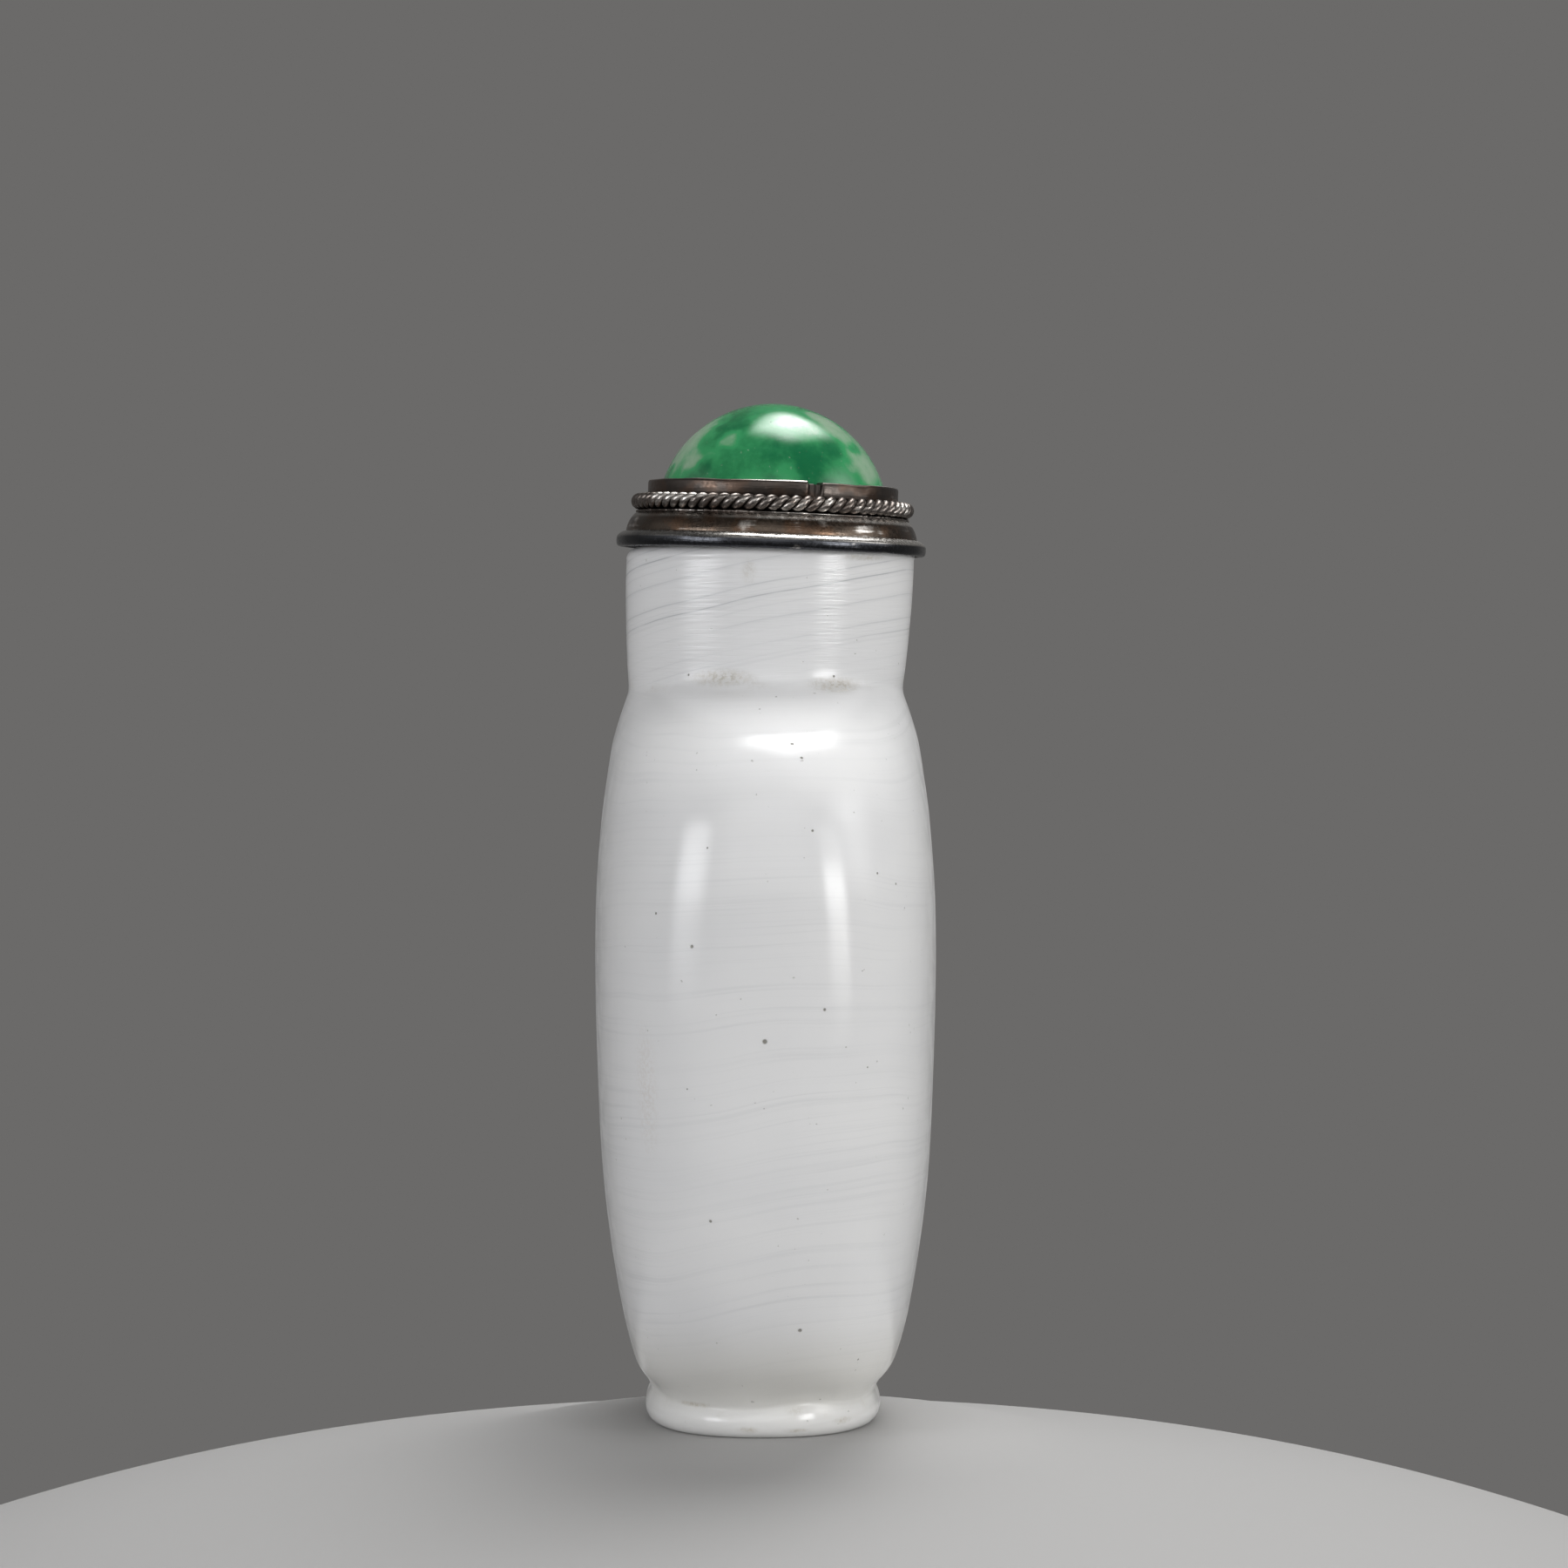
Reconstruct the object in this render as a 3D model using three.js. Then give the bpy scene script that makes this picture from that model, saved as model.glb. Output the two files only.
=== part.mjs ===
// Snuff bottle of milk-white glass with a jade cabochon stopper in a silver mount.
// Millimetres, +Z up. The origin is at the middle of the foot, on the surface that it stands on.
// X runs through the thickness of the flattened body, and Y across its width.

import * as THREE from "three";

// ---- driving dimensions ----------------------------------------------------------------

const SEGMENTS = 48; // steps round each section
const GAP = 0.05; // between pieces that touch
const LIP_HEIGHT = 55.8; // top of the neck, ground level
const CREASE_HEIGHT = 46.7; // where the neck meets the shoulder
const ROUND_HEIGHT = 43.6; // from here up the sections are plain ellipses
const LEAN = THREE.MathUtils.degToRad(2.1); // the neck and its bore lean to +X
const BORE_RADIUS = 4.2;
const NECK_FOOT_RADIUS = 8.8;
// The neck flares in a slight curve, as [radius, height].
const NECK_FLARE = [
  [9.07, 50.0],
  [9.2, 52.3],
];
const NECK_TOP_RADIUS = 9.25;
const LIP_ROUNDING = 0.85;

// The wall's outer run up the body, as [half thickness, half width, height].
const FOOT_CREASE = [7.36, 12.2, 2.0];
const LOWER_BELLY = [
  [8.3, 13.8, 3.9],
  [9.17, 16.1, 7.1],
  [10.06, 18.5, 12.7],
];
const BELLY = [
  [10.6, 19.95, 19.0],
  [10.84, 20.5, 26.1],
  [10.88, 20.6, 32.0],
];
const SHOULDER = [
  [10.6, 20.3, 37.3],
  [10.18, 19.1, 41.0],
  [9.65, 16.35, 44.0],
  [9.31, 13.9, 45.1],
  [8.93, 10.9, 46.2],
];
const NECK_CREASE = [NECK_FOOT_RADIUS, NECK_FOOT_RADIUS, CREASE_HEIGHT];

// The hollow's run, from its floor up to the bore.
const HOLLOW = [
  [2.6, 5.0, 4.5],
  [5.2, 9.6, 5.4],
  [6.7, 12.9, 8.6],
  [7.6, 15.7, 15.4],
  [8.0, 17.1, 24.0],
  [8.0, 17.2, 32.0],
  [7.5, 15.4, 39.0],
  [6.5, 10.6, 42.8],
  [5.0, 6.2, 44.8],
  [BORE_RADIUS, BORE_RADIUS, 46.5],
];
const HOLLOW_FLOOR = 4.3;

// The foot: a bead round an oval rim, with a shallow recess under it.
const FOOT_BULGE = [7.56, 12.4, 1.1];
const FOOT_RIM = [6.75, 11.6, 0]; // outer edge of the flat that it stands on
const FOOT_RIM_WIDTH = 1.0;
const FOOT_RECESS = 0.8;

// The stopper. Its heights are above the underside of its rim wire, which hangs below the lip.
const RIM_DROP = 0.3;
const RIM_RADIUS = 9.97;
const RIM_THICKNESS = 0.59;
const RIM_HEIGHT = 1.0;
const PLATE_UNDERSIDE = 0.67;
const PLATE_TOP = 2.3;
const PLATE_TOP_RADIUS = 8.5;
const PLATE_SLOPE = 1.21; // 1 would round the plate's shoulder off in a true quarter ellipse
const TWIST_HEIGHT = 2.9; // middle of the twisted wire
const TWIST_RING_RADIUS = 8.58;
const TWIST_RADIUS = 0.52; // outside of the two strands
const TWIST_TURNS = 35; // full turns of the strands round the ring
const BEZEL_RADIUS = 8.02;
const BEZEL_BORE = 7.55;
const BEZEL_TOP = 4.35;
const SEAM_ANGLE = -70.4; // degrees from +X, where the band's ends are lapped
const SEAM_WIDTH = 0.9;
const SEAM_DEPTH = 0.25;
const STONE_APEX = 9.5;
const DOME_HALF_WIDTH = 7.5; // the dome is a little less than half of an ellipsoid
const DOME_HALF_HEIGHT = 7.62;
const CORK_TOP_RADIUS = 4.05;
const CORK_FOOT_RADIUS = 3.8;
const CORK_CHAMFER = 0.5;
const CORK_LENGTH = 7.5;

// ---- materials -------------------------------------------------------------------------

const milkGlass = new THREE.MeshStandardMaterial({ color: 0xdfe3e4, roughness: 0.14, metalness: 0 });
const wornSilver = new THREE.MeshStandardMaterial({ color: 0x6b5f54, roughness: 0.34, metalness: 1 });
const jade = new THREE.MeshStandardMaterial({ color: 0x2f9256, roughness: 0.12, metalness: 0 });
const corkBark = new THREE.MeshStandardMaterial({ color: 0xa9825a, roughness: 0.9, metalness: 0 });

// ---- shared geometry -------------------------------------------------------------------

// A closed skin over rings of equal length. It ends in a point at each end, or, with no end
// points, its last ring joins its first.
function skin(rings, ends) {
  const count = rings[0].length;
  const points = rings.flat();
  const faces = [];
  const spans = ends ? rings.length - 1 : rings.length;
  for (let row = 0; row < spans; row++) {
    const below = row * count;
    const above = ((row + 1) % rings.length) * count;
    for (let i = 0; i < count; i++) {
      const next = (i + 1) % count;
      faces.push(below + i, below + next, above + next);
      faces.push(below + i, above + next, above + i);
    }
  }
  if (ends) {
    const first = points.push(ends[0]) - 1;
    const last = points.push(ends[1]) - 1;
    const top = (rings.length - 1) * count;
    for (let i = 0; i < count; i++) {
      const next = (i + 1) % count;
      faces.push(first, next, i);
      faces.push(last, top + i, top + next);
    }
  }
  const geometry = new THREE.BufferGeometry().setFromPoints(points);
  geometry.setIndex(faces);
  geometry.computeVertexNormals();
  return geometry;
}

// A solid of revolution about Z from a profile of [radius, height] points, listed upwards.
function turned(profile, segments = SEGMENTS) {
  const points = profile.map(([radius, height]) => new THREE.Vector2(radius, height));
  return new THREE.LatheGeometry(points, segments).rotateX(Math.PI / 2);
}

// Points on an elliptical arc, from one angle to another in degrees, as [x, y] pairs.
function arc(centreX, centreY, radiusX, radiusY, from, to, steps) {
  const points = [];
  for (let i = 0; i <= steps; i++) {
    const angle = THREE.MathUtils.degToRad(from + ((to - from) * i) / steps);
    points.push([centreX + radiusX * Math.cos(angle), centreY + radiusY * Math.sin(angle)]);
  }
  return points;
}

// ---- the bottle ------------------------------------------------------------------------

// The exponent of a section's superellipse: squarest in the belly, and plain from the shoulder up.
function squareness(height) {
  const share = THREE.MathUtils.clamp(
    (height - FOOT_CREASE[2]) / (ROUND_HEIGHT - FOOT_CREASE[2]),
    0,
    1,
  );
  return 2 + (0.3 + 0.45 * Math.sin(Math.PI * share)) * (1 - share ** 16);
}

// How far the leaning neck has carried a section towards +X.
function drift(height) {
  return Math.tan(LEAN) * Math.max(0, height - CREASE_HEIGHT);
}

function section([halfThickness, halfWidth, height]) {
  const power = 2 / squareness(height);
  const spread = (value) => Math.sign(value) * Math.abs(value) ** power;
  const points = [];
  for (let i = 0; i < SEGMENTS; i++) {
    const angle = (2 * Math.PI * i) / SEGMENTS;
    const x = halfThickness * spread(Math.cos(angle)) + drift(height);
    const y = halfWidth * spread(Math.sin(angle));
    points.push(new THREE.Vector3(x, y, height));
  }
  return points;
}

// The stations, with one more on a smooth curve between each two.
function smoothRun(stations) {
  const points = stations.map((station) => new THREE.Vector3(...station));
  const curve = new THREE.CatmullRomCurve3(points, false, "centripetal");
  return curve.getPoints(2 * (stations.length - 1)).map((point) => point.toArray());
}

// From the middle of the recess out to the rim, and round the bead to just under the crease.
function footRun() {
  const [rimX, rimY] = FOOT_RIM;
  const [bulgeX, bulgeY, bulgeHeight] = FOOT_BULGE;
  const inset = (by, height) => [rimX - by, rimY - by, height];
  const outset = ([share, height]) => [
    rimX + (bulgeX - rimX) * share,
    rimY + (bulgeY - rimY) * share,
    height,
  ];
  return [
    inset(FOOT_RIM_WIDTH + 0.7, FOOT_RECESS),
    inset(FOOT_RIM_WIDTH, 0),
    ...arc(0, bulgeHeight, 1, bulgeHeight, -90, 40, 6).map(outset),
  ];
}

function neckRun() {
  const lipStart = LIP_HEIGHT - LIP_ROUNDING;
  const lipCentre = NECK_TOP_RADIUS - LIP_ROUNDING;
  const profile = [
    ...NECK_FLARE,
    ...arc(lipCentre, lipStart, LIP_ROUNDING, LIP_ROUNDING, 0, 90, 3),
    [BORE_RADIUS + 0.4, LIP_HEIGHT],
    [BORE_RADIUS, LIP_HEIGHT - 0.4],
  ];
  return profile.map(([radius, height]) => [radius, radius, height]);
}

function bottleGeometry() {
  const outer = smoothRun([FOOT_CREASE, ...LOWER_BELLY, ...BELLY, ...SHOULDER, NECK_CREASE]);
  const hollow = HOLLOW.toReversed();
  const rings = [...footRun(), ...outer, ...neckRun(), ...hollow].map(section);
  return skin(rings, [
    new THREE.Vector3(0, 0, FOOT_RECESS),
    new THREE.Vector3(0, 0, HOLLOW_FLOOR),
  ]);
}

// ---- the stopper -----------------------------------------------------------------------

// A half-round wire bent into a ring round the plate's edge, with its flat side inwards.
function rimWireGeometry() {
  const inside = RIM_RADIUS - RIM_THICKNESS;
  const half = RIM_HEIGHT / 2;
  const bead = arc(RIM_RADIUS - half, half, half, half, -90, 90, 5);
  return turned([[inside, 0], ...bead, [inside, RIM_HEIGHT], [inside, 0]]);
}

// A disc whose edge stands inside the rim wire and then rounds over to the flat top.
function plateGeometry() {
  const edge = RIM_RADIUS - RIM_THICKNESS - GAP;
  const shoulder = arc(0, 0, 1, 1, 0, 90, 5).map(([out, up]) => [
    PLATE_TOP_RADIUS + (edge - PLATE_TOP_RADIUS) * Math.max(0, out) ** PLATE_SLOPE,
    RIM_HEIGHT + (PLATE_TOP - RIM_HEIGHT) * up ** PLATE_SLOPE,
  ]);
  return turned([[0, PLATE_UNDERSIDE], [edge, PLATE_UNDERSIDE], ...shoulder, [0, PLATE_TOP]]);
}

// Two strands laid round each other: a two-lobed section that turns as it follows the ring.
function twistedWireGeometry() {
  const stepsPerTurn = 5;
  const steps = TWIST_TURNS * stepsPerTurn;
  const waist = TWIST_RADIUS * 0.55;
  const lobes = [
    [0, TWIST_RADIUS],
    [50, waist],
    [130, waist],
    [180, TWIST_RADIUS],
    [230, waist],
    [310, waist],
  ];
  const rings = [];
  for (let i = 0; i < steps; i++) {
    const around = (2 * Math.PI * i) / steps;
    const turn = TWIST_TURNS * around;
    rings.push(
      lobes.map(([degrees, reach]) => {
        const angle = THREE.MathUtils.degToRad(degrees) + turn;
        const radius = TWIST_RING_RADIUS + reach * Math.cos(angle);
        const height = TWIST_HEIGHT + reach * Math.sin(angle);
        return new THREE.Vector3(radius * Math.cos(around), radius * Math.sin(around), height);
      }),
    );
  }
  return skin(rings.reverse());
}

// A strip bent into a ring. Its lapped ends leave an upright notch in the outside.
function bezelGeometry() {
  const halfSeam = THREE.MathUtils.radToDeg(SEAM_WIDTH / BEZEL_RADIUS / 2);
  const start = SEAM_ANGLE + halfSeam;
  const end = SEAM_ANGLE - halfSeam + 360;
  const floor = BEZEL_RADIUS - SEAM_DEPTH;
  const circle = (radius, from, to, steps) =>
    arc(0, 0, radius, radius, from, to, steps).map(([x, y]) => new THREE.Vector2(x, y));
  const outline = new THREE.Shape([
    ...circle(BEZEL_RADIUS, start, end, SEGMENTS - 2),
    ...circle(floor, end, start + 360, 2),
  ]);
  outline.holes.push(new THREE.Path(circle(BEZEL_BORE, start, start + 360, SEGMENTS).slice(1)));
  const foot = PLATE_TOP + GAP;
  const height = BEZEL_TOP - foot;
  return new THREE.ExtrudeGeometry(outline, { depth: height, bevelEnabled: false }).translate(
    0,
    0,
    foot,
  );
}

function cabochonGeometry() {
  const foot = PLATE_TOP + GAP;
  const centre = STONE_APEX - DOME_HALF_HEIGHT;
  const girdle = THREE.MathUtils.radToDeg(Math.asin((foot - centre) / DOME_HALF_HEIGHT));
  const dome = arc(0, centre, DOME_HALF_WIDTH, DOME_HALF_HEIGHT, girdle, 90, 8);
  return turned([[0, foot], ...dome.slice(0, -1), [0, STONE_APEX]]);
}

function corkGeometry() {
  const top = PLATE_UNDERSIDE - GAP;
  const foot = top - CORK_LENGTH;
  const profile = [
    [0, foot],
    [CORK_FOOT_RADIUS - CORK_CHAMFER, foot],
    [CORK_FOOT_RADIUS, foot + CORK_CHAMFER],
    [CORK_TOP_RADIUS, top],
    [0, top],
  ];
  return turned(profile, SEGMENTS / 2);
}

// ---- the object ------------------------------------------------------------------------

function piece(name, geometry, material) {
  const mesh = new THREE.Mesh(geometry, material);
  mesh.name = name;
  return mesh;
}

// The stopper stands square to the leaning bore, so it sits a little askew on the level lip.
const stopper = new THREE.Group();
stopper.add(
  piece("cork", corkGeometry(), corkBark),
  piece("collar_rim_wire", rimWireGeometry(), wornSilver),
  piece("collar_plate", plateGeometry(), wornSilver),
  piece("twisted_wire", twistedWireGeometry(), wornSilver),
  piece("bezel_band", bezelGeometry(), wornSilver),
  piece("jade_cabochon", cabochonGeometry(), jade),
);
stopper.position.set(drift(LIP_HEIGHT), 0, LIP_HEIGHT - RIM_DROP);
stopper.rotation.y = LEAN;

const snuffBottle = new THREE.Group();
snuffBottle.add(piece("bottle", bottleGeometry(), milkGlass), stopper);

export default snuffBottle;
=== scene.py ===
"""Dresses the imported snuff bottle: milk-white glass, a tarnished silver mount and a mottled jade dome."""

import math

import bpy
import numpy as np
from mathutils import Matrix, Vector, noise


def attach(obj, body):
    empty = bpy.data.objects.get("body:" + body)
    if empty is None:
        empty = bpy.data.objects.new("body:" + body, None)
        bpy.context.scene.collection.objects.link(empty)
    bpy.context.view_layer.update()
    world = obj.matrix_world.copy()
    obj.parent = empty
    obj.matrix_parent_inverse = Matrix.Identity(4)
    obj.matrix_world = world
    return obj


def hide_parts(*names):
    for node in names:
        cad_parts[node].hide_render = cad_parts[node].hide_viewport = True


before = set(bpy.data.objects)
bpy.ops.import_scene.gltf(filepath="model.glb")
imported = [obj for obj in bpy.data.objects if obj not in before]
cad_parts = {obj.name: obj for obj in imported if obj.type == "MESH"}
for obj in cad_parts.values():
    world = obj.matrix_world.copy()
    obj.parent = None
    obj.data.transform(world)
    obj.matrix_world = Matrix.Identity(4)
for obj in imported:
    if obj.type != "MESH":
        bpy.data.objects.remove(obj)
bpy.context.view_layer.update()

MM = 0.001  # every size below is in millimetres, and a mesh is scaled by this when it is made
BODY = "root"

# ---- sizes shared with the solids --------------------------------------------------------

LIP_HEIGHT = 55.8
CREASE_HEIGHT = 46.7  # where the neck rises from the shoulder
ROUND_HEIGHT = 43.6  # from here up the sections are plain ellipses
LEAN = math.radians(2.1)
BORE_RADIUS = 4.2
NECK_TOP_RADIUS = 9.25
LIP_ROUNDING = 0.85
FOOT_CREASE_HEIGHT = 2.0

# The glass wall's outer run, as (half thickness, half width, height), from the foot's crease to the lip.
WALL = [
    (7.36, 12.2, 2.0),
    (7.62, 12.65, 2.65),
    (8.12, 13.4, 3.5),
    (8.5, 14.3, 4.45),
    (8.88, 15.3, 5.8),
    (9.17, 16.1, 7.1),
    (9.64, 17.4, 9.8),
    (10.06, 18.5, 12.7),
    (10.38, 19.35, 15.6),
    (10.6, 19.95, 19.0),
    (10.77, 20.32, 23.5),
    (10.87, 20.53, 27.5),
    (10.88, 20.59, 32.0),
    (10.78, 20.55, 34.8),
    (10.58, 20.2, 37.5),
    (10.42, 19.9, 39.25),
    (10.18, 19.23, 41.0),
    (9.9, 17.82, 42.9),
    (9.65, 16.35, 44.0),
    (9.31, 13.9, 45.1),
    (9.0, 11.5, 46.0),
    (8.86, 10.1, 46.45),
    (8.82, 9.2, 46.9),
    (8.87, 8.96, 47.5),
    (8.93, 8.94, 48.1),
    (8.99, 8.99, 48.8),
    (9.07, 9.07, 50.0),
    (9.2, 9.2, 52.3),
    (9.245, 9.245, 53.9),
    (9.25, 9.25, 54.95),
]
# The hollow, as (half thickness, half width, height), from the neck down.
HOLLOW = [
    (4.2, 4.2, 46.5),
    (5.0, 6.2, 44.8),
    (6.5, 10.6, 42.8),
    (7.5, 15.4, 39.0),
    (8.0, 17.2, 32.0),
    (8.0, 17.1, 24.0),
    (7.6, 15.7, 15.4),
    (6.7, 12.9, 8.6),
    (5.2, 9.6, 5.4),
    (2.6, 5.0, 4.5),
]
HOLLOW_FLOOR = 4.3
FOOT_BULGE = (7.56, 12.4, 1.1)  # the bead where it is widest: half thickness, half width, height
FOOT_RIM = (6.75, 11.6)
FOOT_RIM_WIDTH = 1.0  # what the bottle stands on
FOOT_RECESS = 0.8
FOOT_SHIFT = 0.2  # the foot was drawn out a little to one side
FOOT_SHIFT_RUN = 3.5  # the height over which that fades out

RIM_DROP = 0.3  # how far the rim wire hangs below the lip
RIM_RADIUS = 9.97
RIM_THICKNESS = 0.59
RIM_HEIGHT = 1.0
PLATE_UNDERSIDE = 0.67
PLATE_TOP = 2.3
PLATE_TOP_RADIUS = 8.5
PLATE_SLOPE = 1.21  # 1 gives the disc a round shoulder, and more than 1 a flatter one
TWIST_HEIGHT = 2.9
TWIST_RING_RADIUS = 8.58
TWIST_TURNS = 35
BEZEL_RADIUS = 8.02
BEZEL_TOP = 4.35
SEAM_ANGLE = -70.4  # in degrees round the stopper, where the bezel's ends are lapped
SEAM_WIDTH = 0.9
PIECE_GAP = 0.05  # between the disc and what stands on it
STONE_APEX = 9.5
DOME_HALF_WIDTH = 7.5
DOME_HALF_HEIGHT = 7.62
DOME_CENTRE = STONE_APEX - DOME_HALF_HEIGHT

# ---- sizes of the finer shapes -----------------------------------------------------------

WALL_SEGMENTS = 360
RING_SEGMENTS = 384
BEZEL_SEGMENTS = 720
SOLDER_SEGMENTS = 900
WALL_STEPS = 5  # rings between two stations of the outer run
HOLLOW_STEPS = 3

POLISH_WAVE = 0.06  # how deep the slow waves of hand polishing go
CREASE_REACH = 0.9  # how far from the foot's crease its tooling shows
CREASE_SINK = 0.13  # how deep the tool went, on average
CREASE_SWAY = 0.22  # how far the crease wanders up and down
CREASE_RISE = 0.3  # how much higher the crease runs at the sides than at the front
CREASE_REST = 0.06  # and how far it drops at the front

STRAND_LAY = 0.25  # from the middle of the twisted wire to that of a strand
STRAND_RADIUS = 0.268
STRAND_SIDES = 14
STEPS_PER_TURN = 18

BEZEL_EDGE_SOFTNESS = 0.04  # over which the strip steps down into its seam
SOLDER_RADIUS = 8.6
SOLDER_HEIGHT = 2.28
SOLDER_LEAST = 0.05  # where it is thinnest it hides under the wire


def drift(height):
    """How far a section's middle lies towards +X: the neck leans that way, and the foot the other way."""
    lean = math.tan(LEAN) * max(0.0, height - CREASE_HEIGHT)
    return lean - FOOT_SHIFT * math.exp(-((height / FOOT_SHIFT_RUN) ** 2))


# The stopper's own frame: its zero is the underside of the rim wire, square to the leaning bore.
STOPPER_FOOT = (drift(LIP_HEIGHT), 0, LIP_HEIGHT - RIM_DROP)
STOPPER = Matrix.Translation(STOPPER_FOOT) @ Matrix.Rotation(LEAN, 4, "Y")

# ---- mesh tools --------------------------------------------------------------------------


def spline(points, steps):
    """A curve of even curvature through the points, with a number of steps between each two."""
    p = np.array(points, float)
    span = np.sqrt(np.linalg.norm(np.diff(p, axis=0), axis=1))
    count = len(p)
    system = np.eye(count)
    pull = np.zeros_like(p)
    for i in range(1, count - 1):
        before, after = span[i - 1], span[i]
        system[i, i - 1 : i + 2] = before, 2 * (before + after), after
        pull[i] = 6 * ((p[i + 1] - p[i]) / after - (p[i] - p[i - 1]) / before)
    bend = np.linalg.solve(system, pull)
    found = []
    for i in range(count - 1):
        for step in range(steps):
            t = step / steps
            s = 1 - t
            sag = (s**3 - s) * bend[i] + (t**3 - t) * bend[i + 1]
            found.append(s * p[i] + t * p[i + 1] + span[i] ** 2 / 6 * sag)
    return [*found, p[-1]]


def arc(centre, radii, start, end, steps):
    """Points on an elliptical arc between two angles in degrees, both ends included."""
    angles = np.radians(np.linspace(start, end, steps + 1))
    return [(centre[0] + radii[0] * math.cos(a), centre[1] + radii[1] * math.sin(a)) for a in angles]


def loft(name, rings, poles=None, place=None):
    """A closed mesh over rings of equal length, which ends in two poles or runs back into itself."""
    rings = np.array(rings, float)
    rows, count = rings.shape[:2]
    points = rings.reshape(-1, 3)
    last_row = rows - 1 if poles else rows
    row, column = np.meshgrid(np.arange(last_row), np.arange(count), indexing="ij")
    above, beside = (row + 1) % rows, (column + 1) % count
    corners = [row * count + column, row * count + beside, above * count + beside, above * count + column]
    faces = np.stack(corners, -1).reshape(-1, 4).tolist()
    if poles:
        points = np.vstack([points, poles])
        first, last = len(points) - 2, len(points) - 1
        top = (rows - 1) * count
        for i in range(count):
            beyond = (i + 1) % count
            faces.append([first, beyond, i])
            faces.append([last, top + i, top + beyond])
    if place is not None:
        turn = np.array(place.to_3x3())
        points = points @ turn.T + np.array(place.translation)
    mesh = bpy.data.meshes.new(name)
    mesh.from_pydata((points * MM).tolist(), [], faces)
    if inside_out(mesh):
        mesh.flip_normals()
    mesh.polygons.foreach_set("use_smooth", [True] * len(mesh.polygons))
    mesh.update()
    piece = bpy.data.objects.new(name, mesh)
    bpy.context.scene.collection.objects.link(piece)
    return piece


def inside_out(mesh):
    """Whether a closed mesh encloses a negative volume."""
    mesh.calc_loop_triangles()
    corners = np.empty(len(mesh.vertices) * 3)
    mesh.vertices.foreach_get("co", corners)
    triangles = np.empty(len(mesh.loop_triangles) * 3, np.int32)
    mesh.loop_triangles.foreach_get("vertices", triangles)
    a, b, c = np.moveaxis(corners.reshape(-1, 3)[triangles.reshape(-1, 3)], 1, 0)
    return np.einsum("ij,ij->i", a, np.cross(b, c)).sum() < 0


def turned(name, profile, wear=0.0, seed=0.0, closed=False):
    """A turned piece of the stopper, from a profile of (radius, height), worn a little uneven.

    The wear only takes away, so that a worn piece stays inside its solid.
    """
    around = np.linspace(0, 2 * math.pi, RING_SEGMENTS, endpoint=False)
    rings = []
    for radius, height in profile:
        ring = []
        for angle in around:
            where = Vector((radius * math.cos(angle), radius * math.sin(angle), height))
            dent = wear * (noise.noise(where * 0.55 + Vector((seed, seed, seed))) - 0.7)
            lift = 0.5 * wear * (noise.noise(where * 0.4 + Vector((seed + 9, 0, seed))) - 0.7)
            worn = radius + dent
            ring.append((worn * math.cos(angle), worn * math.sin(angle), height + lift))
        rings.append(ring)
    if closed:
        return loft(name, rings, place=STOPPER)
    ends = [(0, 0, profile[0][1]), (0, 0, profile[-1][1])]
    return loft(name, rings, poles=ends, place=STOPPER)


# ---- the glass ---------------------------------------------------------------------------


def squareness(height):
    """The exponent of a section's superellipse: squarest in the belly, and plain from the shoulder up."""
    share = min(1.0, max(0.0, (height - FOOT_CREASE_HEIGHT) / (ROUND_HEIGHT - FOOT_CREASE_HEIGHT)))
    return 2 + (0.3 + 0.45 * math.sin(math.pi * share)) * (1 - share**16)


def reach(half_x, half_y, height, angle):
    """Distance from the axis to the wall in one direction."""
    power = squareness(height)
    return (abs(math.cos(angle) / half_x) ** power + abs(math.sin(angle) / half_y) ** power) ** (-1 / power)


def lumpiness(angle, seed):
    """A slow uneven wave round the foot, between about -1 and 1."""
    return 1.6 * noise.noise(Vector((2.1 * math.cos(angle), 2.1 * math.sin(angle), seed)))


def wall_ring(half_x, half_y, height):
    """One ring of the outer wall, with the foot's uneven tooling and the slow waves of hand polishing."""
    ring = []
    near_crease = math.exp(-(((height - FOOT_CREASE_HEIGHT) / CREASE_REACH) ** 2))
    polish = POLISH_WAVE * min(1.0, height / 4)  # the foot itself wasn't polished
    for angle in np.linspace(0, 2 * math.pi, WALL_SEGMENTS, endpoint=False):
        radius = reach(half_x, half_y, height, angle)
        where = Vector((radius * math.cos(angle), radius * math.sin(angle), height))
        radius -= polish * (0.5 + 0.5 * noise.noise(where * 0.16))
        radius -= CREASE_SINK * near_crease * (1 + lumpiness(angle, 3.0))
        side_rise = CREASE_RISE * abs(math.cos(angle)) ** 1.5 - CREASE_REST
        lift = near_crease * (CREASE_SWAY * lumpiness(angle, 7.0) + side_rise)
        x = radius * math.cos(angle) + drift(height)
        ring.append((x, radius * math.sin(angle), max(0.0, height + lift)))
    return ring


def plain_ring(half_x, half_y, height):
    """One ring of a surface that no one polished."""
    ring = []
    for angle in np.linspace(0, 2 * math.pi, WALL_SEGMENTS, endpoint=False):
        radius = reach(half_x, half_y, height, angle)
        ring.append((radius * math.cos(angle) + drift(height), radius * math.sin(angle), height))
    return ring


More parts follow.
